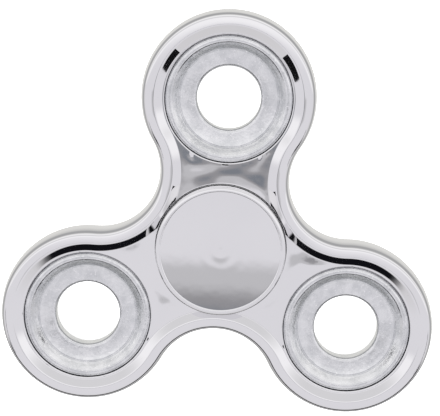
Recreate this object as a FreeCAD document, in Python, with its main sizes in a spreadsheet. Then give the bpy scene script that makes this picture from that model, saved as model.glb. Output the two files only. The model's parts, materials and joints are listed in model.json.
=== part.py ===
import FreeCAD, Part
import math
import os

import Sketcher

# A three-lobed fidget spinner: a chrome-plated moulded body that carries three dished zinc-plated
# weight rings and turns on a 608 ball bearing, held between two pressed-in finger caps.
# Millimetres. Origin at the middle of the bearing, +Z along the spin axis towards the front
# face, +Y towards the first lobe.

# Driving dimensions, one spreadsheet cell each.
DIMENSIONS = {
    # outline of the body
    "lobe_count": 3,
    "lobe_distance": 25.9,
    "lobe_radius": 15.1,
    "waist_radius": 10.25,
    # section of the body: a raised rim round a lower deck, the same on both faces
    "rim_half_height": 4.2,
    "deck_half_height": 3.5,
    "rim_crown_width": 2.5,
    "rim_width": 3.85,
    "rim_outer_round": 1.6,
    "bore_radius": 11.0,
    "bore_mouth_round": 0.2,
    "bearing_lead_in": 0.35,
    # weight ring
    "hole_radius": 5.5,
    "hole_half_height": 1.75,
    "annulus_outer_radius": 8.35,
    "annulus_half_height": 2.2,
    "land_inner_radius": 9.6,
    "land_half_height": 3.4,
    "hole_edge_round": 0.6,
    "valley_round": 0.5,
    "land_round": 0.45,
    # 608 bearing
    "shaft_radius": 4.0,
    "race_half_width": 3.5,
    "race_chamfer": 0.25,
    "pitch_radius": 7.5,
    "ball_radius": 1.9845,
    "ball_clearance": 0.01,
    "raceway_radius": 2.05,
    "inner_shoulder_radius": 6.05,
    "outer_shoulder_radius": 8.95,
    "shield_seat_radius": 9.75,
    "snap_groove_radius": 9.95,
    "shield_seat_height": 2.55,
    "shield_sheet": 0.3,
    "shield_step": 0.2,
    "shield_hole_radius": 6.3,
    "shield_outer_radius": 9.7,
    "shield_step_outer_radius": 8.9,
    "shield_step_inner_radius": 8.6,
    "snap_ring_thickness": 0.3,
    "snap_ring_inner_radius": 9.35,
    "snap_ring_sweep": 330,
    # ball cage and its rivets
    "ball_count": 7,
    "cage_inner_radius": 6.85,
    "cage_outer_radius": 8.15,
    "cage_sheet": 0.35,
    "cage_pocket_clearance": 0.06,
    "rivet_radius": 0.35,
    "rivet_head_radius": 0.6,
    "rivet_head_height": 0.2,
    # finger caps
    "cap_radius": 11.15,
    "cap_face_height": 6.05,
    "cap_gap": 0.5,
    "cap_edge_round": 0.6,
    "cap_dish_radius": 10.3,
    "cap_dish_depth": 0.28,
    "cap_shoulder_radius": 5.8,
    "cap_stub_gap": 0.2,
    "cap_stub_chamfer": 0.3,
}

doc = FreeCAD.newDocument("fidget_spinner")
sheet = doc.addObject("Spreadsheet::Sheet", "Sizes")
for row, (alias, number) in enumerate(DIMENSIONS.items(), start=1):
    sheet.set(f"A{row}", alias)
    sheet.set(f"B{row}", str(number))
    sheet.setAlias(f"B{row}", alias)
doc.recompute()


class Size:
    """A number together with the expression that works it out from the sheet's cells."""

    def __init__(self, number, text):
        self.number = number
        self.text = text

    def combined(self, other, sign, number):
        text = other.text if isinstance(other, Size) else repr(other)
        return Size(number, f"({self.text} {sign} {text})")

    def __add__(self, other):
        return self.combined(other, "+", self.number + number_of(other))

    def __sub__(self, other):
        return self.combined(other, "-", self.number - number_of(other))

    def __mul__(self, other):
        return self.combined(other, "*", self.number * number_of(other))

    def __truediv__(self, other):
        return self.combined(other, "/", self.number / number_of(other))

    def __neg__(self):
        return Size(-self.number, f"(-1 * {self.text})")


def number_of(value):
    """The plain number of a size or of a number."""
    return value.number if isinstance(value, Size) else value


def size(alias):
    """The size in one cell of the sheet."""
    return Size(DIMENSIONS[alias], f"Sizes.{alias}")


def bind(target, prop, value):
    """Ties a property to the sheet."""
    target.setExpression(prop, value.text)


def place_round_axis(target, radius, degrees):
    """Puts a sub-part on a circle about the spin axis."""
    angle = math.radians(degrees)
    bind(target, "Placement.Base.x", radius * math.cos(angle))
    bind(target, "Placement.Base.y", radius * math.sin(angle))


# ---------------------------------------------------------------- sketch and feature helpers


def new_body(label):
    body = doc.addObject("PartDesign::Body", label)
    body.Label = label
    return body


def origin_feature(body, role):
    return next(item for item in body.Origin.OriginFeatures if item.Role == role)


def new_sketch(body, name, plane="XY_Plane", height=None):
    """A sketch on one of the body's own origin planes, lifted by an optional height."""
    sketch = body.newObject("Sketcher::SketchObject", name)
    sketch.AttachmentSupport = [(origin_feature(body, plane), "")]
    sketch.MapMode = "FlatFace"
    if height is not None:
        bind(sketch, "AttachmentOffset.Base.z", height)
    return sketch


def fix_coordinate(sketch, kind, geometry, point, value):
    """Holds one coordinate of a sketch point at a size, or on the axis where it is zero."""
    if number_of(value) == 0:
        axis = -2 if kind == "DistanceX" else -1
        sketch.addConstraint(Sketcher.Constraint("PointOnObject", geometry, point, axis))
        return
    index = sketch.addConstraint(Sketcher.Constraint(kind, geometry, point, number_of(value)))
    if isinstance(value, Size):
        sketch.setExpression(f"Constraints[{index}]", value.text)


def fix_point(sketch, geometry, point, across, up):
    fix_coordinate(sketch, "DistanceX", geometry, point, across)
    fix_coordinate(sketch, "DistanceY", geometry, point, up)


def fix_radius(sketch, geometry, value):
    index = sketch.addConstraint(Sketcher.Constraint("Radius", geometry, value.number))
    sketch.setExpression(f"Constraints[{index}]", value.text)


def draw_polygon(sketch, corners):
    """A closed outline of straight lines through corners given as (across, up) sizes."""
    points = [FreeCAD.Vector(number_of(x), number_of(y), 0) for x, y in corners]
    count = len(points)
    for index in range(count):
        sketch.addGeometry(Part.LineSegment(points[index], points[(index + 1) % count]), False)
    for index, (across, up) in enumerate(corners):
        after = (index + 1) % count
        sketch.addConstraint(Sketcher.Constraint("Coincident", index, 2, after, 1))
        fix_point(sketch, index, 1, across, up)


def draw_circle(sketch, across, up, radius):
    """A circle of a given centre and radius."""
    centre = FreeCAD.Vector(number_of(across), number_of(up), 0)
    circle = Part.Circle(centre, FreeCAD.Vector(0, 0, 1), radius.number)
    geometry = sketch.addGeometry(circle, False)
    fix_point(sketch, geometry, 3, across, up)
    fix_radius(sketch, geometry, radius)


def revolve(body, sketch, kind="PartDesign::Revolution"):
    """A full turn of a half section about the spin axis, added to the body or cut from it."""
    feature = body.newObject(kind, sketch.Name + "_turn")
    feature.Profile = sketch
    feature.ReferenceAxis = (origin_feature(body, "Z_Axis"), [""])
    feature.Angle = 360
    return feature


def turned_body(label, corners):
    """A body made by turning a polygon half section about the spin axis."""
    body = new_body(label)
    sketch = new_sketch(body, label + "_section", "XZ_Plane")
    draw_polygon(sketch, corners)
    body.Tip = revolve(body, sketch)
    return body


def groove_raceway(body, centre_radius, ball_groove_radius):
    """Cuts the ball track of a race: a circular section turned about the spin axis."""
    doc.recompute()
    before = body.Shape.Volume
    sketch = new_sketch(body, body.Label + "_track", "XZ_Plane")
    draw_circle(sketch, centre_radius, 0, ball_groove_radius)
    body.Tip = revolve(body, sketch, "PartDesign::Groove")
    doc.recompute()
    if body.Shape.Volume >= before:
        raise RuntimeError(f"the ball track of {body.Label} cuts nothing")


def groove_polygon(body, name, corners):
    """Cuts a ring of polygon section, turned about the spin axis, out of a body."""
    doc.recompute()
    before = body.Shape.Volume
    sketch = new_sketch(body, name, "XZ_Plane")
    draw_polygon(sketch, corners)
    body.Tip = revolve(body, sketch, "PartDesign::Groove")
    doc.recompute()
    if body.Shape.Volume >= before:
        raise RuntimeError(f"{name} cuts nothing")


def dress_edges(body, kind, amount_name, amount, wanted):
    """A fillet or chamfer on the body's edges for which wanted(edge) is true."""
    doc.recompute()
    base = body.Tip
    names = [f"Edge{i}" for i, edge in enumerate(base.Shape.Edges, start=1) if wanted(edge)]
    if not names:
        raise RuntimeError(f"no edge of {body.Label} to dress")
    feature = body.newObject(kind, f"{body.Label}_{kind[12:].lower()}")
    feature.Base = (base, names)
    bind(feature, amount_name, amount)
    body.Tip = feature
    return feature


def fillet(body, amount, wanted):
    return dress_edges(body, "PartDesign::Fillet", "Radius", amount, wanted)


def chamfer(body, amount, wanted):
    return dress_edges(body, "PartDesign::Chamfer", "Size", amount, wanted)


def near(value, wanted):
    return abs(value - wanted) < 1e-4


def ring_edge(radius, height):
    """Picks circles of one radius, about any upright axis, at one height on either face."""

    def test(edge):
        round_edge = isinstance(edge.Curve, Part.Circle)
        return (
            round_edge
            and near(edge.Curve.Radius, number_of(radius))
            and near(abs(edge.Curve.Center.z), number_of(height))
        )

    return test


# ---------------------------------------------------------------- spinner body

LOBE_ANGLES = [90 + 360 * index / DIMENSIONS["lobe_count"] for index in range(DIMENSIONS["lobe_count"])]


def draw_lobed_outline(sketch, inset):
    """Three lobe arcs joined by three tangent waist arcs, moved inwards by an inset."""
    distance = size("lobe_distance")
    lobe = size("lobe_radius") - inset
    waist = size("waist_radius") + inset
    # The waist arc's centre lies on the line midway between two lobes, where it is one lobe
    # radius plus one waist radius from each lobe's centre.
    reach = distance.number
    spacing = lobe.number + waist.number
    half_turn = math.pi / DIMENSIONS["lobe_count"]
    across = reach * math.sin(half_turn)
    waist_distance = reach * math.cos(half_turn) + math.sqrt(spacing**2 - across**2)
    up = FreeCAD.Vector(0, 0, 1)
    for angle in LOBE_ANGLES:
        lobe_angle = math.radians(angle)
        outward = FreeCAD.Vector(math.cos(lobe_angle), math.sin(lobe_angle), 0)
        centre = outward * reach
        waist_after = FreeCAD.Vector(
            math.cos(lobe_angle + half_turn), math.sin(lobe_angle + half_turn), 0
        )
        waist_centre = waist_after * waist_distance
        towards_waist = waist_centre - centre
        bend = math.atan2(towards_waist.y, towards_waist.x)
        opening = (bend - lobe_angle) % (2 * math.pi)
        lobe_circle = Part.Circle(centre, up, lobe.number)
        lobe_arc = Part.ArcOfCircle(lobe_circle, lobe_angle - opening, lobe_angle + opening)
        geometry = sketch.addGeometry(lobe_arc, False)
        fix_point(
            sketch,
            geometry,
            3,
            flat(distance * math.cos(lobe_angle)),
            flat(distance * math.sin(lobe_angle)),
        )
        fix_radius(sketch, geometry, lobe)
        # The waist arc bulges towards the spin axis, so it runs the other way round.
        back_to_lobe = bend + math.pi
        inward = lobe_angle + half_turn + math.pi
        half_arc = (inward - back_to_lobe) % (2 * math.pi)
        if half_arc > math.pi:
            half_arc -= 2 * math.pi
        waist_circle = Part.Circle(waist_centre, up, waist.number)
        low, high = sorted((inward - half_arc, inward + half_arc))
        waist_arc = Part.ArcOfCircle(waist_circle, low, high)
        fix_radius(sketch, sketch.addGeometry(waist_arc, False), waist)
    # Arcs alternate lobe, waist, lobe, waist; each joins the next one tangentially.
    count = 2 * DIMENSIONS["lobe_count"]
    for lobe_index in range(0, count, 2):
        waist_index = lobe_index + 1
        next_lobe = (lobe_index + 2) % count
        sketch.addConstraint(Sketcher.Constraint("Tangent", lobe_index, 2, waist_index, 2))
        sketch.addConstraint(Sketcher.Constraint("Tangent", waist_index, 1, next_lobe, 1))


def flat(value):
    """Zero in place of a coordinate that only rounding keeps from it."""
    return 0 if abs(value.number) < 1e-9 else value


def spinner_body():
    rim = size("rim_half_height")
    deck = size("deck_half_height")
    body = new_body("spinner_body")

    outline = new_sketch(body, "body_outline", height=-rim)
    draw_lobed_outline(outline, 0)
    slab = body.newObject("PartDesign::Pad", "body_slab")
    slab.Profile = outline
    bind(slab, "Length", rim * 2)
    body.Tip = slab

    # The deck is sunk inside the rim on both faces, with a sloping wall down to it.
    recess_mouth = new_sketch(body, "recess_mouth", height=rim)
    draw_lobed_outline(recess_mouth, size("rim_crown_width"))
    recess_floor = new_sketch(body, "recess_floor", height=deck)
    draw_lobed_outline(recess_floor, size("rim_width"))
    recess = body.newObject("PartDesign::SubtractiveLoft", "deck_recess")
    recess.Profile = recess_mouth
    recess.Sections = [recess_floor]
    recess.Ruled = True
    body.Tip = recess
    doc.recompute()
    if recess.Shape.Volume >= slab.Shape.Volume:
        raise RuntimeError("the deck recess cuts nothing")
    both_faces = body.newObject("PartDesign::Mirrored", "deck_recess_both_faces")
    both_faces.Originals = [recess]
    both_faces.MirrorPlane = (origin_feature(body, "XY_Plane"), [""])
    body.Tip = both_faces

    def outer_edge(edge):
        on_lobe = ring_edge(size("lobe_radius"), rim)(edge)
        on_waist = ring_edge(size("waist_radius"), rim)(edge)
        return on_lobe or on_waist

    fillet(body, size("rim_outer_round"), outer_edge)

    # Four through bores: one for the bearing and one for each weight ring.
    bores = new_sketch(body, "bore_circles", height=-rim)
    draw_circle(bores, 0, 0, size("bore_radius"))
    for angle in LOBE_ANGLES:
        turn = math.radians(angle)
        across = flat(size("lobe_distance") * math.cos(turn))
        up = flat(size("lobe_distance") * math.sin(turn))
        draw_circle(bores, across, up, size("bore_radius"))
    doc.recompute()
    solid_volume = body.Shape.Volume
    pocket = body.newObject("PartDesign::Pocket", "bores")
    pocket.Profile = bores
    pocket.Reversed = True
    bind(pocket, "Length", rim * 2)
    body.Tip = pocket
    doc.recompute()
    if body.Shape.Volume >= solid_volume:
        raise RuntimeError("the bores cut nothing")

    def weight_mouth(edge):
        """Picks the bore mouths of the weights, which are off the spin axis."""
        if not ring_edge(size("bore_radius"), deck)(edge):
            return False
        return math.hypot(edge.Curve.Center.x, edge.Curve.Center.y) > size("bore_radius").number

    fillet(body, size("bore_mouth_round"), weight_mouth)

    # A lead-in chamfer round each end of the bearing's bore, open above the deck so that it
    # also clears the finger cap where the rim comes close to it.
    bore = size("bore_radius")
    lead = size("bearing_lead_in")
    lead_in = [(bore, deck - lead), (bore + lead, deck), (bore + lead, rim), (bore, rim)]
    groove_polygon(body, "lead_in_front", lead_in)
    groove_polygon(body, "lead_in_rear", [(across, -up) for across, up in lead_in])
    return body


# ---------------------------------------------------------------- weight rings


def weight_ring(number, degrees):
    """A turned steel ring: a through hole, a sloping annulus, a cone and a raised outer land."""
    hole = size("hole_radius")
    hole_top = size("hole_half_height")
    annulus = size("annulus_outer_radius")
    annulus_top = size("annulus_half_height")
    land = size("land_inner_radius")
    land_top = size("land_half_height")
    outer = size("bore_radius")
    corners = [
        (hole, -hole_top),
        (annulus, -annulus_top),
        (land, -land_top),
        (outer, -land_top),
        (outer, land_top),
        (land, land_top),
        (annulus, annulus_top),
        (hole, hole_top),
    ]
    body = turned_body(f"weight_ring_{number}", corners)
    fillet(body, size("hole_edge_round"), ring_edge(hole, hole_top))
    fillet(body, size("valley_round"), ring_edge(annulus, annulus_top))
    fillet(body, size("land_round"), ring_edge(outer, land_top))
    fillet(body, size("land_round"), ring_edge(land, land_top))
    place_round_axis(body, size("lobe_distance"), degrees)
    return body


# ---------------------------------------------------------------- bearing


def bearing_outer_race():
    outer = size("bore_radius")
    width = size("race_half_width")
    seat = size("shield_seat_radius")
    groove = size("snap_groove_radius")
    shoulder = size("outer_shoulder_radius")
    seat_top = size("shield_seat_height")
    groove_low = seat_top + size("shield_sheet")
    groove_high = groove_low + size("snap_ring_thickness")
    upper = [
        (seat, width),
        (seat, groove_high),
        (groove, groove_high),
        (groove, groove_low),
        (seat, groove_low),
        (seat, seat_top),
        (shoulder, seat_top),
    ]
    lower = [(across, -up) for across, up in reversed(upper)]
    body = turned_body("bearing_outer_race", [(outer, width)] + upper + lower + [(outer, -width)])
    track_bottom = size("pitch_radius") + size("ball_radius") + size("ball_clearance")
    groove_raceway(body, track_bottom - size("raceway_radius"), size("raceway_radius"))
    chamfer(body, size("race_chamfer"), ring_edge(outer, width))
    return body


def bearing_inner_race():
    bore = size("shaft_radius")
    width = size("race_half_width")
    shoulder = size("inner_shoulder_radius")
    corners = [(bore, -width), (shoulder, -width), (shoulder, width), (bore, width)]
    body = turned_body("bearing_inner_race", corners)
    track_bottom = size("pitch_radius") - size("ball_radius") - size("ball_clearance")
    groove_raceway(body, track_bottom + size("raceway_radius"), size("raceway_radius"))
    chamfer(body, size("race_chamfer"), ring_edge(bore, width))
    return body


BALL_ANGLES = [360 * index / DIMENSIONS["ball_count"] for index in range(DIMENSIONS["ball_count"])]
HALF_BALL_STEP = 180 / DIMENSIONS["ball_count"]


def bearing_ball(number, degrees):
    ball = doc.addObject("Part::Sphere", f"bearing_ball_{number}")
    ball.Label = f"bearing_ball_{number}"
    bind(ball, "Radius", size("ball_radius"))
    place_round_axis(ball, size("pitch_radius"), degrees)
    return ball


def cylinder(name, radius, height, bottom=None):
    """An upright cylinder on the spin axis."""
    solid = doc.addObject("Part::Cylinder", name)
    bind(solid, "Radius", radius)
    bind(solid, "Height", height)
    if bottom is not None:
        bind(solid, "Placement.Base.z", bottom)
    return solid


def cut(name, base, tool):
    result = doc.addObject("Part::Cut", name)
    result.Base = base
    result.Tool = tool
    return result


def fuse(name, pieces):
    result = doc.addObject("Part::MultiFuse", name)
    result.Shapes = pieces
    return result


def ring_of_spheres(name, radius):
    """One sphere at each ball's place."""
    spheres = []
    for number, degrees in enumerate(BALL_ANGLES, start=1):
        sphere = doc.addObject("Part::Sphere", f"{name}_{number}")
        bind(sphere, "Radius", radius)
        place_round_axis(sphere, size("pitch_radius"), degrees)
        spheres.append(sphere)
    return spheres


def ring_of_rivet_holes(name):
    holes = []
    for number, degrees in enumerate(BALL_ANGLES, start=1):
        hole = cylinder(f"{name}_{number}", size("rivet_radius"), size("cage_sheet"))
        place_round_axis(hole, size("pitch_radius"), degrees + HALF_BALL_STEP)
        holes.append(hole)
    return holes


def ball_cage_half(label):
    """Half of a pressed ribbon cage: a flat ring with a domed pocket over each ball."""
    pocket = size("ball_radius") + size("cage_pocket_clearance")
    dome = pocket + size("cage_sheet")
    inner = size("cage_inner_radius")
    outer = size("cage_outer_radius")
    ribbon = cylinder(label + "_ribbon", outer, size("cage_sheet"))
    domes = ring_of_spheres(label + "_dome", dome)
    blank = fuse(label + "_blank", [ribbon] + domes)
    envelope = cylinder(label + "_envelope", outer, dome)
    pressed = doc.addObject("Part::MultiCommon", label + "_pressed")
    pressed.Shapes = [blank, envelope]
    bore = cylinder(label + "_bore", inner, dome)
    holes = [bore] + ring_of_spheres(label + "_pocket", pocket) + ring_of_rivet_holes(label + "_hole")
    half = cut(label, pressed, fuse(label + "_removed", holes))
    half.Label = label
    return half


def cage_rivets():
    """Seven rivets that clamp the two cage halves together between the balls."""
    head_low = size("cage_sheet")
    head = size("rivet_head_height")
    rivets = []
    for number, degrees in enumerate(BALL_ANGLES, start=1):
        shank = cylinder(f"rivet_shank_{number}", size("rivet_radius"), head_low * 2, -head_low)
        heads = []
        for side, bottom in (("front", head_low), ("rear", -(head_low + head))):
            cap = doc.addObject("Part::Cone", f"rivet_head_{side}_{number}")
            wide, narrow = ("Radius1", "Radius2") if side == "front" else ("Radius2", "Radius1")
            bind(cap, wide, size("rivet_head_radius"))
            bind(cap, narrow, size("rivet_radius"))
            bind(cap, "Height", head)
            bind(cap, "Placement.Base.z", bottom)
            heads.append(cap)
        rivet = fuse(f"rivet_{number}", [shank] + heads)
        place_round_axis(rivet, size("pitch_radius"), degrees + HALF_BALL_STEP)
        rivets.append(rivet)
    group = doc.addObject("Part::Compound", "cage_rivets")
    group.Label = "cage_rivets"
    group.Links = rivets
    return group


def face_over(body):
    """Turns a sub-part made for the front face over to the rear."""
    body.Placement = FreeCAD.Placement(
        FreeCAD.Vector(0, 0, 0), FreeCAD.Rotation(FreeCAD.Vector(1, 0, 0), 180)
    )


def bearing_shield(label):
    """A pressed sheet washer with a shallow step, seated in the outer race."""
    low = size("shield_seat_height")
    high = low + size("shield_sheet")
    step = size("shield_step")
    hole = size("shield_hole_radius")
    rim = size("shield_outer_radius")
    step_out = size("shield_step_outer_radius")
    step_in = size("shield_step_inner_radius")
    corners = [
        (hole, low + step),
        (step_in, low + step),
        (step_out, low),
        (rim, low),
        (rim, high),
        (step_out, high),
        (step_in, high + step),
        (hole, high + step),
    ]
    return turned_body(label, corners)


def shield_snap_ring(label):
    """An open square-wire ring sprung into the outer race's groove to hold the shield."""
    low = size("shield_seat_height") + size("shield_sheet")
    high = low + size("snap_ring_thickness")
    inner = size("snap_ring_inner_radius")
    outer = size("snap_groove_radius")
    body = turned_body(label, [(inner, low), (outer, low), (outer, high), (inner, high)])
    bind(body.Tip, "Angle", size("snap_ring_sweep"))
    return body


# ---------------------------------------------------------------- finger caps


def finger_cap(label):
    """A dished disc with a shoulder that sits on the inner race and a stub pressed into it."""
    face = size("cap_face_height")
    race = size("race_half_width")
    underside = race + size("cap_gap")
    shoulder = size("cap_shoulder_radius")
    stub = size("shaft_radius")
    stub_end = size("cap_stub_gap")
    rim = size("cap_radius")
    corners = [
        (0, stub_end),
        (stub, stub_end),
        (stub, race),
        (shoulder, race),
        (shoulder, underside),
        (rim, underside),
        (rim, face),
        (0, face),
    ]
    body = turned_body(label, corners)
    fillet(body, size("cap_edge_round"), ring_edge(rim, face))
    chamfer(body, size("cap_stub_chamfer"), ring_edge(stub, stub_end))
    # The dish is part of a large sphere that meets the flat rim of the face.
    dish = size("cap_dish_radius")
    depth = size("cap_dish_depth")
    sphere_radius = (dish * dish + depth * depth) / (depth * 2)
    doc.recompute()
    undished = body.Shape.Volume
    ball = body.newObject("PartDesign::SubtractiveSphere", label + "_dish")
    bind(ball, "Radius", sphere_radius)
    bind(ball, "AttachmentOffset.Base.z", face - depth + sphere_radius)
    ball.AttachmentSupport = [(origin_feature(body, "XY_Plane"), "")]
    ball.MapMode = "FlatFace"
    body.Tip = ball
    doc.recompute()
    if body.Shape.Volume >= undished:
        raise RuntimeError(f"the dish of {label} cuts nothing")
    return body


# ---------------------------------------------------------------- the whole spinner


def build_all():
    pieces = [spinner_body()]
    for number, degrees in enumerate(LOBE_ANGLES, start=1):
        pieces.append(weight_ring(number, degrees))
    pieces.append(bearing_outer_race())
    pieces.append(bearing_inner_race())
    for number, degrees in enumerate(BALL_ANGLES, start=1):
        pieces.append(bearing_ball(number, degrees))
    pieces.append(cage_rivets())
    for maker, name in (
        (ball_cage_half, "ball_cage"),
        (bearing_shield, "bearing_shield"),
        (shield_snap_ring, "shield_snap_ring"),
        (finger_cap, "finger_cap"),
    ):
        pieces.append(maker(name + "_front"))
        rear = maker(name + "_rear")
        face_over(rear)
        pieces.append(rear)
    return pieces


def check_document(pieces):
    """Stops if any object failed to work out or any sub-part has no valid solid."""
    for item in doc.Objects:
        if "Invalid" in item.State or "Error" in item.State:
            raise RuntimeError(f"{item.Label} is in state {item.State}")
    for piece in pieces:
        if piece.Shape.isNull() or not piece.Shape.isValid() or not piece.Shape.Solids:
            raise RuntimeError(f"{piece.Label} has no valid solid")


parts = build_all()
doc.recompute()
check_document(parts)
os.makedirs("parts", exist_ok=True)
for piece in parts:
    piece.Shape.exportStep(f"parts/{piece.Label}.step")
    box = piece.Shape.BoundBox
    print(
        f"{piece.Label}: {len(piece.Shape.Solids)} solid, {piece.Shape.Volume:.1f} mm3, "
        f"{box.XLength:.2f} x {box.YLength:.2f} x {box.ZLength:.2f}"
    )
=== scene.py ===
import json
import math

import bmesh
import bpy
from mathutils import Matrix, Vector, noise
from mathutils.geometry import delaunay_2d_cdt


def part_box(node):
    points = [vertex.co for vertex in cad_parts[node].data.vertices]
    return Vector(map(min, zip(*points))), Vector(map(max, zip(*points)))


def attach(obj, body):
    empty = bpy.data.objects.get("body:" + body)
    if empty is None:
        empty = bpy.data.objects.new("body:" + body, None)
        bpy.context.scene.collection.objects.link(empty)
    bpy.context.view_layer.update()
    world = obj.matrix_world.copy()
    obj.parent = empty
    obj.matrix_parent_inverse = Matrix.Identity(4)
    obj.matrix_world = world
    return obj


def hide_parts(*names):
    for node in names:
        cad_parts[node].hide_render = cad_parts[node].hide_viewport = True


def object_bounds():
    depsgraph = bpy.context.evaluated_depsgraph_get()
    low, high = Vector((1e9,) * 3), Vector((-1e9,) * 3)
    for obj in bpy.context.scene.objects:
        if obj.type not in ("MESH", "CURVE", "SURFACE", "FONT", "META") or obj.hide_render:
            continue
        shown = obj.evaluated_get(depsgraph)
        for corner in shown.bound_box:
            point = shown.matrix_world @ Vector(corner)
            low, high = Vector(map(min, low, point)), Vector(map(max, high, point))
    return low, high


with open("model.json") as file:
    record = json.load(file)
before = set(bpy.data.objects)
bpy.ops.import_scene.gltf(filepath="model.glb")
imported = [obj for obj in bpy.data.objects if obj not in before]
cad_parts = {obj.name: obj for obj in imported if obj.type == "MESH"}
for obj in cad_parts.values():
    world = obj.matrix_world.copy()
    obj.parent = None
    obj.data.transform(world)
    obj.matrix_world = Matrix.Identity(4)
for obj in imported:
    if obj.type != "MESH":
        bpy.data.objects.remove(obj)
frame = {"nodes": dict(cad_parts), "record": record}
CAD_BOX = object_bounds()

MM = 0.001
LOBES = 3
FULL_TURN = 2 * math.pi


def corner(node, which):
    """One corner of a CAD node's box, in millimetres: 0 is the lowest, 1 the highest."""
    return Vector(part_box(node)[which]) / MM


# Sizes in millimetres, read from the frame.
RING_LOW = corner("weight_ring_1", 0)
RING_HIGH = corner("weight_ring_1", 1)
LOBE_DISTANCE = (RING_LOW.y + RING_HIGH.y) / 2
BORE = (RING_HIGH.x - RING_LOW.x) / 2
LAND = RING_HIGH.z
LOBE = corner("spinner_body", 1).y - LOBE_DISTANCE
RIM = corner("spinner_body", 1).z
DECK = corner("bearing_outer_race", 1).z
CAP = corner("finger_cap_front", 1).x
CAP_TOP = corner("finger_cap_front", 1).z
CAP_STUB_END = corner("finger_cap_front", 0).z
FLOOR = CAD_BOX[0][2] / MM

# Radius of the arcs that join the lobes.
WAIST = 10.25
# Chamfer that leads the bearing into its bore; it shows as a dark gap round the cap.
LEAD_IN = 0.35
# Faces that meet at more than this angle, in degrees, keep a sharp corner.
SHARP_CORNER = 32
# A section point this close to the axis, in millimetres, is on it.
ON_AXIS = 1e-6


# ------------------------------------------------------------------ curves and meshes


def smooth_line(nodes, steps):
    """Points of a smooth line through nodes given as (across, up, heading in degrees)."""
    points = []
    for (x0, y0, turn0), (x1, y1, turn1) in zip(nodes, nodes[1:]):
        reach = math.hypot(x1 - x0, y1 - y0)
        out_x = reach * math.cos(math.radians(turn0))
        out_y = reach * math.sin(math.radians(turn0))
        in_x = reach * math.cos(math.radians(turn1))
        in_y = reach * math.sin(math.radians(turn1))
        for step in range(steps):
            t = step / steps
            start = 2 * t**3 - 3 * t**2 + 1
            leave = t**3 - 2 * t**2 + t
            arrive = t**3 - t**2
            x = start * x0 + (1 - start) * x1 + leave * out_x + arrive * in_x
            y = start * y0 + (1 - start) * y1 + leave * out_y + arrive * in_y
            points.append((x, y))
    points.append(nodes[-1][:2])
    return points


def join_loops(mesh, first, second):
    """A band of faces between two closed loops with the same number of vertices."""
    count = len(first)
    for index in range(count):
        after = (index + 1) % count
        mesh.faces.new((first[index], first[after], second[after], second[index]))


def finished_object(name, mesh):
    """Turns a bmesh in millimetres into a smooth-shaded object in metres."""
    bmesh.ops.recalc_face_normals(mesh, faces=mesh.faces)
    bmesh.ops.scale(mesh, vec=(MM, MM, MM), verts=mesh.verts)
    for face in mesh.faces:
        face.smooth = True
    data = bpy.data.meshes.new(name)
    mesh.to_mesh(data)
    mesh.free()
    data.set_sharp_from_angle(angle=math.radians(SHARP_CORNER))
    piece = bpy.data.objects.new(name, data)
    bpy.context.collection.objects.link(piece)
    return piece


def lathe(name, section, steps, centre=(0, 0), flip=False):
    """A closed turned solid. A section point with no radius becomes one vertex on the axis."""
    mesh = bmesh.new()
    side = -1 if flip else 1
    loops = []
    for radius, height in section:
        if radius < ON_AXIS:
            loops.append([mesh.verts.new((centre[0], centre[1], side * height))])
            continue
        ring = circle(centre, radius, steps)
        loops.append([mesh.verts.new((x, y, side * height)) for x, y in ring])
    for first, second in zip(loops, loops[1:]):
        if len(first) == 1 or len(second) == 1:
            tip, ring = (first[0], second) if len(first) == 1 else (second[0], first)
            for step in range(steps):
                mesh.faces.new((tip, ring[step], ring[(step + 1) % steps]))
        else:
            join_loops(mesh, first, second)
    if len(loops[0]) > 1:
        join_loops(mesh, loops[-1], loops[0])
    return finished_object(name, mesh)


def mirrored_section(upper):
    """A section over the middle plane followed by its mirror image under it."""
    return upper + [(across, -up) for across, up in reversed(upper[1:-1])]


def through_section(upper):
    """A section from the lower face up to the upper one, from its half over the middle plane."""
    return [(across, -up) for across, up in reversed(upper[1:])] + upper


def circle(centre, radius, steps):
    """Points round a circle, counted from the +X side."""
    turns = [FULL_TURN * step / steps for step in range(steps)]
    return [
        (centre[0] + radius * math.cos(turn), centre[1] + radius * math.sin(turn))
        for turn in turns
    ]


# ------------------------------------------------------------------ the lobed body

LOBE_STEPS = 110
WAIST_STEPS = 44
BORE_STEPS = 200
LOBE_ANGLES = [math.radians(90) + FULL_TURN * number / LOBES for number in range(LOBES)]
LOBE_CENTRES = [
    (LOBE_DISTANCE * math.cos(angle), LOBE_DISTANCE * math.sin(angle)) for angle in LOBE_ANGLES
]

# The rim's section from the middle plane to the deck: distance in from the outline, height,
# and heading. A bulging side, a tight outer edge, a nearly flat crown and a straight slope
# down to the deck.
RIM_NODES = [
    (0.0, 0.0, 90),
    (0.26, RIM - 1.6, 79),
    (0.49, RIM - 0.75, 66),
    (0.76, RIM - 0.32, 43),
    (1.0, RIM - 0.17, 22),
    (1.3, RIM - 0.1, 8),
    (2.18, RIM, 4),
    (2.5, RIM - 0.06, -27.5),
    (3.68, DECK + 0.025, -27.5),
    (3.85, DECK, 0),
]
RIM_STEPS = 9
BORE_LIP = 0.2
LIP_STEPS = 8
# The rim's foot stays this far outside the bearing bore's mouth.
MOUTH_CLEARANCE = 0.05
# The deck's inner points: how far apart, how far apart their rows, how far in from its edges.
DECK_SPACING = 0.5
ROW_SPACING = DECK_SPACING * 0.866
DECK_MARGIN = 0.3
# Deck points closer together than this, in millimetres, are one point.
SAME_POINT = 1e-7
# The deck's slow wave: how far from an edge it is at full height, its height and its length.
DECK_FADE = 1.6
DECK_WAVE = 0.055
DECK_WAVE_LENGTH = 4.5
# A mouth's edge is a many-sided polygon, so its sides cut this far inside the true circle.
CHORD_SAG = 0.01


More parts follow.
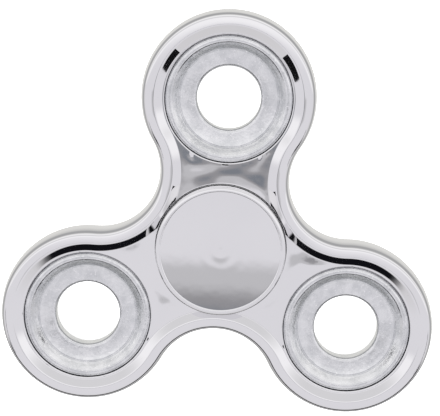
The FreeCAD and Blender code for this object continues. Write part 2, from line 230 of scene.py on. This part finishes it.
def outline(inset):
    """The lobed outline moved inwards, kept clear of the bearing's bore."""
    half = math.pi / LOBES
    spacing = LOBE + WAIST
    across = LOBE_DISTANCE * math.sin(half)
    waist_distance = LOBE_DISTANCE * math.cos(half) + math.sqrt(spacing**2 - across**2)
    opening = math.atan2(
        waist_distance * math.sin(half), waist_distance * math.cos(half) - LOBE_DISTANCE
    )
    waist_half = opening - half
    keep_out = BORE + LEAD_IN + MOUTH_CLEARANCE
    points = []
    for angle, (x, y) in zip(LOBE_ANGLES, LOBE_CENTRES):
        for step in range(LOBE_STEPS):
            turn = angle - opening + 2 * opening * step / LOBE_STEPS
            radius = LOBE - inset
            points.append((x + radius * math.cos(turn), y + radius * math.sin(turn)))
        middle = angle + half
        centre_x = waist_distance * math.cos(middle)
        centre_y = waist_distance * math.sin(middle)
        for step in range(WAIST_STEPS):
            turn = middle + math.pi + waist_half - 2 * waist_half * step / WAIST_STEPS
            radius = WAIST + inset
            x_here = centre_x + radius * math.cos(turn)
            y_here = centre_y + radius * math.sin(turn)
            reach = math.hypot(x_here, y_here)
            push = max(1.0, keep_out / reach)
            points.append((x_here * push, y_here * push))
    return points


BEARING_CENTRE = (0.0, 0.0)
# Each bore's centre and how far its mouth opens beyond the bore: the bearing's, then the weights'.
BORES = [(BEARING_CENTRE, LEAD_IN)] + [(centre, BORE_LIP) for centre in LOBE_CENTRES]


def within_a_mouth(x, y, margin):
    """Whether a point is closer to a bore than its mouth's edge plus a margin."""
    return any(math.hypot(x - hx, y - hy) < BORE + lip + margin for (hx, hy), lip in BORES)


def distance_to(points, x, y):
    """Distance to the nearest of some points."""
    return min(math.hypot(x - px, y - py) for px, py in points)


def deck_points(edges):
    """A staggered grid of points inside the rim and outside the bores."""
    reach = LOBE_DISTANCE + LOBE
    rows = int(reach / ROW_SPACING)
    columns = int(reach / DECK_SPACING)
    found = []
    for row in range(-rows, rows + 1):
        y = row * ROW_SPACING
        for column in range(-columns, columns + 1):
            x = (column + 0.5 * (row % 2)) * DECK_SPACING
            if within_a_mouth(x, y, DECK_MARGIN):
                continue
            if not inside(edges[0], x, y):
                continue
            if distance_to(edges[0], x, y) > DECK_MARGIN:
                found.append((x, y))
    return found


def inside(loop, x, y):
    """Whether a point is inside a closed outline, by counting crossings."""
    crossed = False
    for (x0, y0), (x1, y1) in zip(loop, loop[1:] + loop[:1]):
        if (y0 > y) != (y1 > y) and x < x0 + (y - y0) * (x1 - x0) / (y1 - y0):
            crossed = not crossed
    return crossed


def deck_height(x, y, margin):
    """A moulded deck is never quite flat: a slow wave that fades out at its edges."""
    place = Vector((x / DECK_WAVE_LENGTH, y / DECK_WAVE_LENGTH, 0.0))
    fade = min(1.0, margin / DECK_FADE)
    return DECK + DECK_WAVE * fade * noise.noise(place)


def bore_wall(lip, rounded):
    """Half a bore's wall, from the middle plane up to a rounded or chamfered mouth."""
    leave, arrive = (90, 0) if rounded else (45, 45)
    mouth = smooth_line([(BORE, DECK - lip, leave), (BORE + lip, DECK, arrive)], LIP_STEPS)
    return [(BORE, 0.0)] + mouth


def fill_deck(mesh, loops, side):
    """Covers one deck between the rim's foot and the four bore mouths."""
    edges = [[(vertex.co.x, vertex.co.y) for vertex in loop] for loop in loops]
    inner = deck_points(edges)
    flat_points = [point for edge in edges for point in edge] + inner
    borders = []
    start = 0
    for edge in edges:
        count = len(edge)
        borders += [(start + step, start + (step + 1) % count) for step in range(count)]
        start += count
    vertices = [vertex for loop in loops for vertex in loop]
    for x, y in inner:
        margin = min(distance_to(edge, x, y) for edge in edges)
        vertices.append(mesh.verts.new((x, y, side * deck_height(x, y, margin))))
    result = delaunay_2d_cdt([Vector(point) for point in flat_points], borders, [], 0, SAME_POINT)
    places, _, triangles, origins = result[:4]
    lookup = [vertices[origin[0]] for origin in origins]
    for triangle in triangles:
        x = sum(places[index].x for index in triangle) / 3
        y = sum(places[index].y for index in triangle) / 3
        if inside(edges[0], x, y) and not within_a_mouth(x, y, -CHORD_SAG):
            mesh.faces.new([lookup[index] for index in triangle])


def make_body():
    """One plated moulding: rim, sunken decks on both faces and four through bores."""
    mesh = bmesh.new()
    rim_loops = []
    for inset, height in through_section(smooth_line(RIM_NODES, RIM_STEPS)):
        rim_loops.append([mesh.verts.new((x, y, height)) for x, y in outline(inset)])
    for first, second in zip(rim_loops, rim_loops[1:]):
        join_loops(mesh, first, second)
    mouths = {1: [rim_loops[-1]], -1: [rim_loops[0]]}
    for centre, lip in BORES:
        wall = bore_wall(lip, rounded=centre != BEARING_CENTRE)
        loops = []
        for radius, height in through_section(wall):
            ring = circle(centre, radius, BORE_STEPS)
            loops.append([mesh.verts.new((x, y, height)) for x, y in ring])
        for first, second in zip(loops, loops[1:]):
            join_loops(mesh, first, second)
        mouths[1].append(loops[-1])
        mouths[-1].append(loops[0])
    for side, loops in mouths.items():
        fill_deck(mesh, loops, side)
    return finished_object("plated_body", mesh)


# ------------------------------------------------------------------ weight rings

RING_HOLE = frame["record"]["mounts"][0]["dims"]["r_mm"]
# The land's outer edge stops short of the bore, which leaves a dark line round the ring.
RING_EDGE = 10.93
# A ring's section outwards from its hole: radius, height and heading.
RING_NODES = [
    # The through hole and its rounded mouth.
    (RING_HOLE, 0.0, 90),
    (RING_HOLE, 1.24, 90),
    (RING_HOLE + 0.5, 1.8, 4),
    # The dished annulus, which rises slowly to a thin groove.
    (7.6, 1.98, 8),
    (8.3, 2.13, 15),
    (8.47, 2.03, 0),
    # The cone and the rounded land round it.
    (8.66, 2.2, 43),
    (9.5, 3.06, 43),
    (9.95, LAND - 0.01, 8),
    (10.4, LAND - 0.02, -10),
    (RING_EDGE, LAND - 0.55, -90),
    # The side that is pressed into the bore.
    (BORE, LAND - 0.9, -90),
    (BORE, 0.0, -90),
]
RING_NODE_STEPS = 8
RING_ROUND_STEPS = 220


def make_weight(number, centre):
    """A through hole, a dished annulus, a thin groove, a cone and a rounded outer land."""
    section = mirrored_section(smooth_line(RING_NODES, RING_NODE_STEPS))
    return lathe(f"zinc_weight_{number}", section, RING_ROUND_STEPS, centre)


# ------------------------------------------------------------------ finger caps

# The cap's face: a rounded edge, a narrow lip, a small step down and a shallow dish with a
# faint moulding ripple round its middle.
CAP_SHOULDER = 5.8
CAP_STUB = 4.0
STUB_CHAMFER = 0.3
CAP_UNDERSIDE = DECK + 0.5
UNDERSIDE_CHAMFER = 0.1
CAP_ROUND = 0.34
LIP_CREST = 10.5
STEP_DROP = 0.085
DISH_EDGE = 10.24
DISH_RADIUS = 273.0
RIPPLE_HEIGHT = 0.0018
RIPPLE_LENGTH = 2.2
RIPPLE_REACH = 3.0
# The part of a cap that shows, inwards from its side wall: radius, height and heading.
CAP_NODES = [
    (CAP, CAP_TOP - CAP_ROUND, 90),
    (CAP - 0.06, CAP_TOP - CAP_ROUND + 0.13, 125),
    (CAP - 0.19, CAP_TOP - 0.11, 159),
    (LIP_CREST, CAP_TOP, 180),
    (DISH_EDGE + 0.11, CAP_TOP - 0.045, 218),
    (DISH_EDGE, CAP_TOP - STEP_DROP, 182),
]
CAP_NODE_STEPS = 10
DISH_STEPS = 120
CAP_ROUND_STEPS = 256


def dish_height(radius):
    """Height of the dished face at a distance from the axis."""
    rise = (radius**2 - DISH_EDGE**2) / (2 * DISH_RADIUS)
    fade = math.exp(-((radius / RIPPLE_REACH) ** 2))
    ripple = RIPPLE_HEIGHT * fade * math.cos(FULL_TURN * radius / RIPPLE_LENGTH)
    return CAP_TOP - STEP_DROP + rise + ripple


def cap_section():
    """Stub, shoulder, underside, side wall, rounded edge, thin lip and dished face."""
    hidden = [
        (0.0, CAP_STUB_END),
        (CAP_STUB - STUB_CHAMFER, CAP_STUB_END),
        (CAP_STUB, CAP_STUB_END + STUB_CHAMFER),
        (CAP_STUB, DECK),
        (CAP_SHOULDER, DECK),
        (CAP_SHOULDER, CAP_UNDERSIDE),
        (CAP - UNDERSIDE_CHAMFER, CAP_UNDERSIDE),
        (CAP, CAP_UNDERSIDE + UNDERSIDE_CHAMFER),
    ]
    shown = smooth_line(CAP_NODES, CAP_NODE_STEPS)
    dish = []
    for step in range(1, DISH_STEPS + 1):
        radius = DISH_EDGE * (1 - step / DISH_STEPS)
        dish.append((radius, dish_height(radius)))
    return hidden + shown + dish


def make_cap(side, flip):
    """One plated cap; the rear one is the front one turned over."""
    return lathe(f"plated_cap_{side}", cap_section(), CAP_ROUND_STEPS, flip=flip)


# ------------------------------------------------------------------ node graphs


class Graph:
    """A node tree with short calls for the few kinds of node used here."""

    def __init__(self, tree):
        self.tree = tree
        tree.nodes.clear()

    def add(self, kind, **settings):
        """A new node with some of its properties set."""
        node = self.tree.nodes.new(kind)
        for name, value in settings.items():
            setattr(node, name, value)
        return node

    def feed(self, socket, value):
        """Links a socket to another, or sets its value."""
        if isinstance(value, bpy.types.NodeSocket):
            self.tree.links.new(value, socket)
        elif value is not None:
            socket.default_value = value

    def maths(self, operation, first, second=None):
        """One sum on one or two values, each a socket or a number."""
        node = self.add("ShaderNodeMath", operation=operation)
        self.feed(node.inputs[0], first)
        self.feed(node.inputs[1], second)
        return node.outputs[0]

    def step(self, value, low, high, bottom=0.0, top=1.0):
        """Rises smoothly from bottom to top as value goes from low to high."""
        node = self.add("ShaderNodeMapRange", interpolation_type="SMOOTHSTEP")
        node.clamp = True
        self.feed(node.inputs["Value"], value)
        settings = {"From Min": low, "From Max": high, "To Min": bottom, "To Max": top}
        for name, number in settings.items():
            node.inputs[name].default_value = number
        return node.outputs[0]

    def between(self, value, low, high, soft):
        """One where value is between low and high, with soft edges."""
        rise = self.step(value, low - soft / 2, low + soft / 2)
        fall = self.step(value, high - soft / 2, high + soft / 2, 1.0, 0.0)
        return self.maths("MULTIPLY", rise, fall)

    def blend(self, amount, first, second):
        """Mixes two colours, each a socket or (r, g, b). The node's inputs 6 and 7 are colours."""
        node = self.add("ShaderNodeMix", data_type="RGBA")
        self.feed(node.inputs[0], amount)
        self.feed(node.inputs[6], colour(first))
        self.feed(node.inputs[7], colour(second))
        return node.outputs[2]

    def noise(self, place, scale, detail=2.0, roughness=0.5):
        """Random mottling; scale is in patches per metre."""
        node = self.add("ShaderNodeTexNoise")
        self.feed(node.inputs["Vector"], place)
        self.feed(node.inputs["Scale"], scale)
        self.feed(node.inputs["Detail"], detail)
        self.feed(node.inputs["Roughness"], roughness)
        return node.outputs[0]


def colour(value):
    """Adds full opacity to an (r, g, b) colour; leaves a socket as it is."""
    return (*value, 1.0) if isinstance(value, tuple) and len(value) == 3 else value


# ------------------------------------------------------------------ materials

# The colour shown where shaders are not, in plain views of the scene.
PLAIN_METAL = (0.8, 0.8, 0.82, 1.0)


def new_material(name):
    """An empty material, its node graph, and the place on the object in metres."""
    material = bpy.data.materials.new(name)
    material.use_nodes = True
    graph = Graph(material.node_tree)
    return material, graph, graph.add("ShaderNodeTexCoord").outputs["Object"]


def metal(name, tint, roughness_of, bump_of):
    """A metal whose colour, roughness and relief come from functions of the node graph."""
    material, graph, place = new_material(name)
    surface = graph.add("ShaderNodeBsdfPrincipled")
    surface.inputs["Metallic"].default_value = 1.0
    graph.feed(surface.inputs["Base Color"], colour(tint(graph, place)))
    graph.feed(surface.inputs["Roughness"], roughness_of(graph, place))
    height, distance = bump_of(graph, place)
    bump = graph.add("ShaderNodeBump")
    bump.inputs["Strength"].default_value = 1.0
    bump.inputs["Distance"].default_value = distance
    graph.feed(bump.inputs["Height"], height)
    graph.feed(surface.inputs["Normal"], bump.outputs[0])
    output = graph.add("ShaderNodeOutputMaterial")
    graph.feed(output.inputs["Surface"], surface.outputs[0])
    material.diffuse_color = PLAIN_METAL
    return material


def plated(name):
    """Bright chrome over moulded plastic: slight ripple, faint smears and fine dust."""
    clean = (0.868, 0.864, 0.874)
    smeared = (0.852, 0.848, 0.860)
    ripple_depth = 0.000003

    def tint(graph, place):
        smear = graph.step(graph.noise(place, scale=90.0, detail=3.0), low=0.35, high=0.7)
        return graph.blend(smear, clean, smeared)

    def roughness(graph, place):
        streaks = graph.noise(place, scale=160.0, detail=4.0)
        smear = graph.step(streaks, low=0.45, high=0.75, bottom=0.02, top=0.045)
        specks = graph.noise(place, scale=5200.0, detail=1.0)
        dust = graph.step(specks, low=0.74, high=0.8, bottom=0.0, top=0.10)
        return graph.maths("ADD", smear, dust)

    def relief(graph, place):
        return graph.noise(place, scale=260.0, detail=2.0), ripple_depth

    return metal(name, tint, roughness, relief)


def zinc():
    """Zinc-plated steel: cloudy bright and dull patches, small pits and a soft sheen."""
    dull = (0.70, 0.71, 0.725)
    bright = (0.86, 0.865, 0.875)
    flecked = (0.92, 0.92, 0.925)
    grain_depth = 0.00003

    def tint(graph, place):
        patches = graph.noise(place, scale=420.0, detail=5.0, roughness=0.62)
        cloud = graph.step(patches, low=0.32, high=0.68)
        fleck = graph.step(graph.noise(place, scale=2600.0, detail=2.0), low=0.6, high=0.72)
        return graph.blend(fleck, graph.blend(cloud, dull, bright), flecked)

    def roughness(graph, place):
        sheen = graph.noise(place, scale=700.0, detail=4.0, roughness=0.6)
        return graph.step(sheen, low=0.3, high=0.7, bottom=0.12, top=0.24)

    def relief(graph, place):
        return graph.noise(place, scale=1500.0, detail=3.0, roughness=0.6), grain_depth

    return metal("zinc_plated_steel", tint, roughness, relief)


# The bearing steels' handling marks: how much finer the roughness and the relief are than the
# tone, where the marks begin and end, and how deep they are in metres.
ROUGHNESS_FINER = 3
RELIEF_FINER = 5
MARKS_LOW = 0.3
MARKS_HIGH = 0.7
MARKS_DEPTH = 0.000004


def steel(name, light, dark, smoothest, roughest, scale):
    """Plain bearing steels: even colour with fine handling marks."""

    def tint(graph, place):
        patches = graph.noise(place, scale, detail=3.0)
        return graph.blend(graph.step(patches, MARKS_LOW, MARKS_HIGH), dark, light)

    def roughness(graph, place):
        marks = graph.noise(place, scale * ROUGHNESS_FINER, detail=3.0)
        return graph.step(marks, MARKS_LOW, MARKS_HIGH, smoothest, roughest)

    def relief(graph, place):
        return graph.noise(place, scale * RELIEF_FINER, detail=2.0), MARKS_DEPTH

    return metal(name, tint, roughness, relief)


# ------------------------------------------------------------------ the studio

# The tent's shades, from overhead down its +Y side. Each row gives the two tilts from the
# zenith, in degrees, between which the shade before it gives way to its own.
OVERHEAD_SHADE = (0.79, 0.78, 0.815)
NORTH_SHADES = [
    (-1, 11, (1.0, 0.99, 1.01)),
    (18, 36, (0.74, 0.735, 0.75)),
    (42, 56, (1.0, 0.99, 1.0)),
    (72, 84, (0.85, 0.845, 0.84)),
]
# The -Y side's shade, and the two tilts between which it gives way to the shades above.
SOUTH_SHADE = (0.70, 0.69, 0.705)
SOUTH_START = -60
SOUTH_END = -30
# The table's shades, from straight below outwards, by degrees above the horizon: a warm grey
# close by, the tent's own shadow further out, then paler again.
TABLE_SHADE = (0.775, 0.77, 0.745)
TABLE_SHADES = [
    (-68.0, -45.0, (0.42, 0.42, 0.425)),
    (-26.0, -6.0, (0.70, 0.695, 0.69)),
]
# Degrees above the horizon between which the table gives way to the tent.
TENT_FOOT = -8.0
TENT_START = 0.0
# The opening: degrees above the horizon of its lower and upper edges, how fast the upper edge
# climbs to either side, how soft both are, and how far round it ends.
OPENING_FOOT = -1.0
OPENING_TOP = 27.6
OPENING_CLIMB = 0.0018
OPENING_SOFTNESS = 1.6
OPENING_SIDE = 52
OPENING_SIDE_END = 62
OPENING_SHADE = (0.006, 0.006, 0.008)
# The grey thing overhead: nested patches, each with the tilts of its two edges, how far it
# reaches to either side, in degrees, and its shade.
OVERHEAD_PATCHES = [
    (-10.0, -6.0, 13.0, (0.57, 0.565, 0.585)),
    (-8.7, -6.5, 9.0, (0.33, 0.325, 0.34)),
    (-7.9, -6.8, 5.0, (0.22, 0.235, 0.265)),
]
PATCH_SOFTNESS = 0.8
PATCH_SIDE_SOFTNESS = 3.0
# How far up a direction points, from 0 to 1, where the patches begin and are at full strength.
PATCH_LOW = 0.5
PATCH_HIGH = 0.6
BACKDROP = (0.93, 0.93, 0.935)


def shaded(graph, angle, shade, rows):
    """Starts from one shade and passes to each row's shade between its two angles."""
    for low, high, next_shade in rows:
        shade = graph.blend(graph.step(angle, low, high), shade, next_shade)
    return shade


def studio_world():
    """A pale light tent seen only in reflections, with its dark opening low on the -Y side."""
    world = bpy.data.worlds.new("studio")
    bpy.context.scene.world = world
    world.use_nodes = True
    graph = Graph(world.node_tree)
    direction = graph.add("ShaderNodeTexCoord").outputs["Generated"]
    split = graph.add("ShaderNodeSeparateXYZ")
    graph.feed(split.inputs[0], direction)
    east, north, up = split.outputs
    degrees = 180 / math.pi
    height = graph.maths("MULTIPLY", graph.maths("ARCSINE", up), degrees)
    south = graph.maths("MULTIPLY", north, -1.0)
    around = graph.maths("MULTIPLY", graph.maths("ARCTAN2", east, south), degrees)
    side = graph.maths("ABSOLUTE", around)
    tilt = graph.maths("MULTIPLY", graph.maths("ARCTAN2", north, up), degrees)
    sway = graph.maths("MULTIPLY", graph.maths("ARCTAN2", east, up), degrees)

    tent = shaded(graph, tilt, OVERHEAD_SHADE, NORTH_SHADES)
    tent = graph.blend(graph.step(tilt, SOUTH_START, SOUTH_END, 1.0, 0.0), tent, SOUTH_SHADE)
    table = shaded(graph, height, TABLE_SHADE, TABLE_SHADES)
    tent = graph.blend(graph.step(height, TENT_FOOT, TENT_START), table, tent)

    # The opening low on the -Y side is black, and its upper edge climbs towards its two ends.
    climb = graph.maths("MULTIPLY", graph.maths("POWER", side, 2.0), OPENING_CLIMB)
    above = graph.maths("SUBTRACT", height, climb)
    gap = graph.between(above, OPENING_FOOT, OPENING_TOP, OPENING_SOFTNESS)
    ends = graph.step(side, OPENING_SIDE, OPENING_SIDE_END, 1.0, 0.0)
    tent = graph.blend(graph.maths("MULTIPLY", gap, ends), tent, OPENING_SHADE)

    # Something grey hangs overhead, darker and bluer towards its middle.
    overhead = graph.step(up, PATCH_LOW, PATCH_HIGH)
    for low, high, reach, shade in OVERHEAD_PATCHES:
        band = graph.between(tilt, low, high, PATCH_SOFTNESS)
        width = graph.between(sway, -reach, reach, PATCH_SIDE_SOFTNESS)
        patch = graph.maths("MULTIPLY", band, width)
        tent = graph.blend(graph.maths("MULTIPLY", patch, overhead), tent, shade)

    # The camera itself sees only a plain pale backdrop.
    seen = graph.add("ShaderNodeLightPath").outputs["Is Camera Ray"]
    lit = graph.blend(seen, tent, BACKDROP)
    background = graph.add("ShaderNodeBackground")
    graph.feed(background.inputs["Color"], lit)
    output = graph.add("ShaderNodeOutputWorld")
    graph.feed(output.inputs["Surface"], background.outputs[0])


def flat_sheet(name, corners):
    """A flat four-cornered sheet of the studio."""
    mesh = bmesh.new()
    mesh.faces.new([mesh.verts.new(place) for place in corners])
    sheet = finished_object(name, mesh)
    return sheet


# Two black cards, which only reflections see. Each faces one spot on the first lobe's rim, from
# this far off in millimetres, this many degrees round from -Y and this many above the horizon.
CARD_DISTANCE = 200.0
CARD_AZIMUTH = 54.0
CARD_ELEVATION = 32.2
CARD_WIDTH = 60.0
CARD_HEIGHT = 18.0
CARD_SPOT_SIDE = LOBE * 0.64
CARD_SPOT_NORTH = LOBE_DISTANCE + LOBE * 0.37
CARD_FELT = ((0.002, 0.002, 0.002), (0.006, 0.006, 0.007))


def studio_cards():
    """Small black cards above the -Y side that put a dark arc on each side of the first lobe."""
    material = bpy.data.materials.new("black_card")
    material.use_nodes = True
    graph = Graph(material.node_tree)
    surface = graph.add("ShaderNodeBsdfDiffuse")
    place = graph.add("ShaderNodeTexCoord").outputs["Object"]
    felt = graph.blend(graph.noise(place, scale=400.0), *CARD_FELT)
    graph.feed(surface.inputs["Color"], felt)
    output = graph.add("ShaderNodeOutputMaterial")
    graph.feed(output.inputs["Surface"], surface.outputs[0])
    around = math.radians(CARD_AZIMUTH)
    above = math.radians(CARD_ELEVATION)
    for name, side in (("card_left", -1), ("card_right", 1)):
        level = math.cos(above)
        aim = Vector((side * math.sin(around) * level, -math.cos(around) * level, math.sin(above)))
        spot = Vector((-side * CARD_SPOT_SIDE, CARD_SPOT_NORTH, DECK))
        middle = spot + aim * CARD_DISTANCE
        across = aim.cross(Vector((0, 0, 1))).normalized() * (CARD_WIDTH / 2)
        upward = across.normalized().cross(aim) * (CARD_HEIGHT / 2)
        places = [(-1, -1), (1, -1), (1, 1), (-1, 1)]
        card = flat_sheet(name, [middle + across * a + upward * b for a, b in places])
        card.data.materials.append(material)
        card.visible_camera = False
        card.visible_diffuse = False
        card.visible_shadow = False


# How strongly the table is lit from below, which keeps it pale beside the object.
TABLE_GLOW = 0.72
# Millimetres from the middle of the table to its sides, and its two faintly mottled tones.
TABLE_REACH = 4000.0
TABLE_TONES = ((0.90, 0.90, 0.90), (0.92, 0.92, 0.92))


def studio_floor():
    """A large pale light table just under the rear cap."""
    reach = TABLE_REACH
    corners = [(-reach, -reach), (reach, -reach), (reach, reach), (-reach, reach)]
    floor = flat_sheet("studio_floor", [(x, y, FLOOR) for x, y in corners])
    material, graph, place = new_material("pale_table")
    surface = graph.add("ShaderNodeBsdfDiffuse")
    graph.feed(surface.inputs["Color"], graph.blend(graph.noise(place, scale=6.0), *TABLE_TONES))
    glow = graph.add("ShaderNodeEmission")
    glow.inputs["Strength"].default_value = TABLE_GLOW
    both = graph.add("ShaderNodeAddShader")
    graph.feed(both.inputs[0], surface.outputs[0])
    graph.feed(both.inputs[1], glow.outputs[0])
    output = graph.add("ShaderNodeOutputMaterial")
    graph.feed(output.inputs["Surface"], both.outputs[0])
    floor.data.materials.append(material)
    floor.visible_glossy = False


# How the camera is turned from looking straight down, in degrees, and where the object's middle
# is from it, in millimetres.
CAMERA_LEAN = 9.45
CAMERA_SWAY = -0.8
CAMERA_ROLL = -3.09
CENTRE_SEEN = (0.167, -6.449, -381.58)
# The lens and its film, in millimetres, and the nearest and furthest it sees, in metres.
LENS = 180
FILM = 36
NEAREST = 0.01
FURTHEST = 20
# The key light's strength, and the spread of its rays in degrees.
KEY_STRENGTH = 3.2
KEY_SPREAD = 6


def camera_and_key_light():
    """Looks almost straight down, tilted a little from the +Y side, lit along the same line."""
    turn = (
        Matrix.Rotation(math.radians(CAMERA_LEAN), 3, "X")
        @ Matrix.Rotation(math.radians(CAMERA_SWAY), 3, "Y")
        @ Matrix.Rotation(math.radians(CAMERA_ROLL), 3, "Z")
    )
    upright = turn.transposed()
    place = Matrix.Translation(-(upright @ (Vector(CENTRE_SEEN) * MM))) @ upright.to_4x4()
    lens = bpy.data.cameras.new("camera")
    lens.lens = LENS
    lens.sensor_width = FILM
    lens.clip_start = NEAREST
    lens.clip_end = FURTHEST
    camera = bpy.data.objects.new("camera", lens)
    camera.matrix_world = place
    bpy.context.collection.objects.link(camera)
    bpy.context.scene.camera = camera

    lamp = bpy.data.lights.new("key_light", "SUN")
    lamp.energy = KEY_STRENGTH
    lamp.angle = math.radians(KEY_SPREAD)
    key = bpy.data.objects.new("key_light", lamp)
    key.matrix_world = place
    key.visible_glossy = False
    bpy.context.collection.objects.link(key)


# ------------------------------------------------------------------ putting it together


def dress(piece, material):
    """Gives a piece its one material."""
    piece.data.materials.clear()
    piece.data.materials.append(material)


def dress_nodes(start, material):
    """Gives a better material to the CAD nodes that stay and whose names start like this."""
    for name, node in frame["nodes"].items():
        if name.startswith(start):
            for slot in node.material_slots:
                slot.material = material


def make_pieces():
    """The plated body, the three weights and the two caps, each in place of its CAD node."""
    chrome = plated("chrome_plate")
    galvanised = zinc()

    body = make_body()
    dress(body, chrome)
    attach(body, "rotor")
    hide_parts("spinner_body")

    for number, centre in enumerate(LOBE_CENTRES, start=1):
        weight = make_weight(number, centre)
        dress(weight, galvanised)
        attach(weight, "rotor")
        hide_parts(f"weight_ring_{number}")

    for side, flip in (("front", False), ("rear", True)):
        cap = make_cap(side, flip)
        dress(cap, chrome)
        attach(cap, "hub")
        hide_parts(f"finger_cap_{side}")


# Each bearing steel: its name, light and dark tones, lowest and highest roughness, patches per
# metre, and how the names of its nodes start.
BEARING_STEELS = [
    ("ground_race_steel", (0.66, 0.665, 0.67), (0.58, 0.585, 0.59), 0.16, 0.26, 500.0,
     ("bearing_outer_race", "bearing_inner_race")),
    ("polished_ball_steel", (0.80, 0.80, 0.81), (0.75, 0.75, 0.76), 0.04, 0.08, 300.0,
     "bearing_ball_"),
    ("pressed_cage_steel", (0.62, 0.60, 0.57), (0.52, 0.50, 0.47), 0.30, 0.42, 700.0,
     ("ball_cage_", "cage_rivets")),
    ("shield_steel", (0.68, 0.68, 0.69), (0.60, 0.60, 0.61), 0.22, 0.32, 450.0,
     "bearing_shield_"),
    ("spring_wire", (0.40, 0.41, 0.42), (0.30, 0.30, 0.31), 0.28, 0.40, 900.0,
     "shield_snap_ring_"),
]


def dress_bearing():
    """Gives every piece of the bearing, which keeps its CAD shape, its own steel."""
    for name, light, dark, smoothest, roughest, scale, start in BEARING_STEELS:
        dress_nodes(start, steel(name, light, dark, smoothest, roughest, scale))


bpy.context.scene.view_settings.view_transform = "Standard"
studio_world()
studio_floor()
studio_cards()
camera_and_key_light()
make_pieces()
dress_bearing()
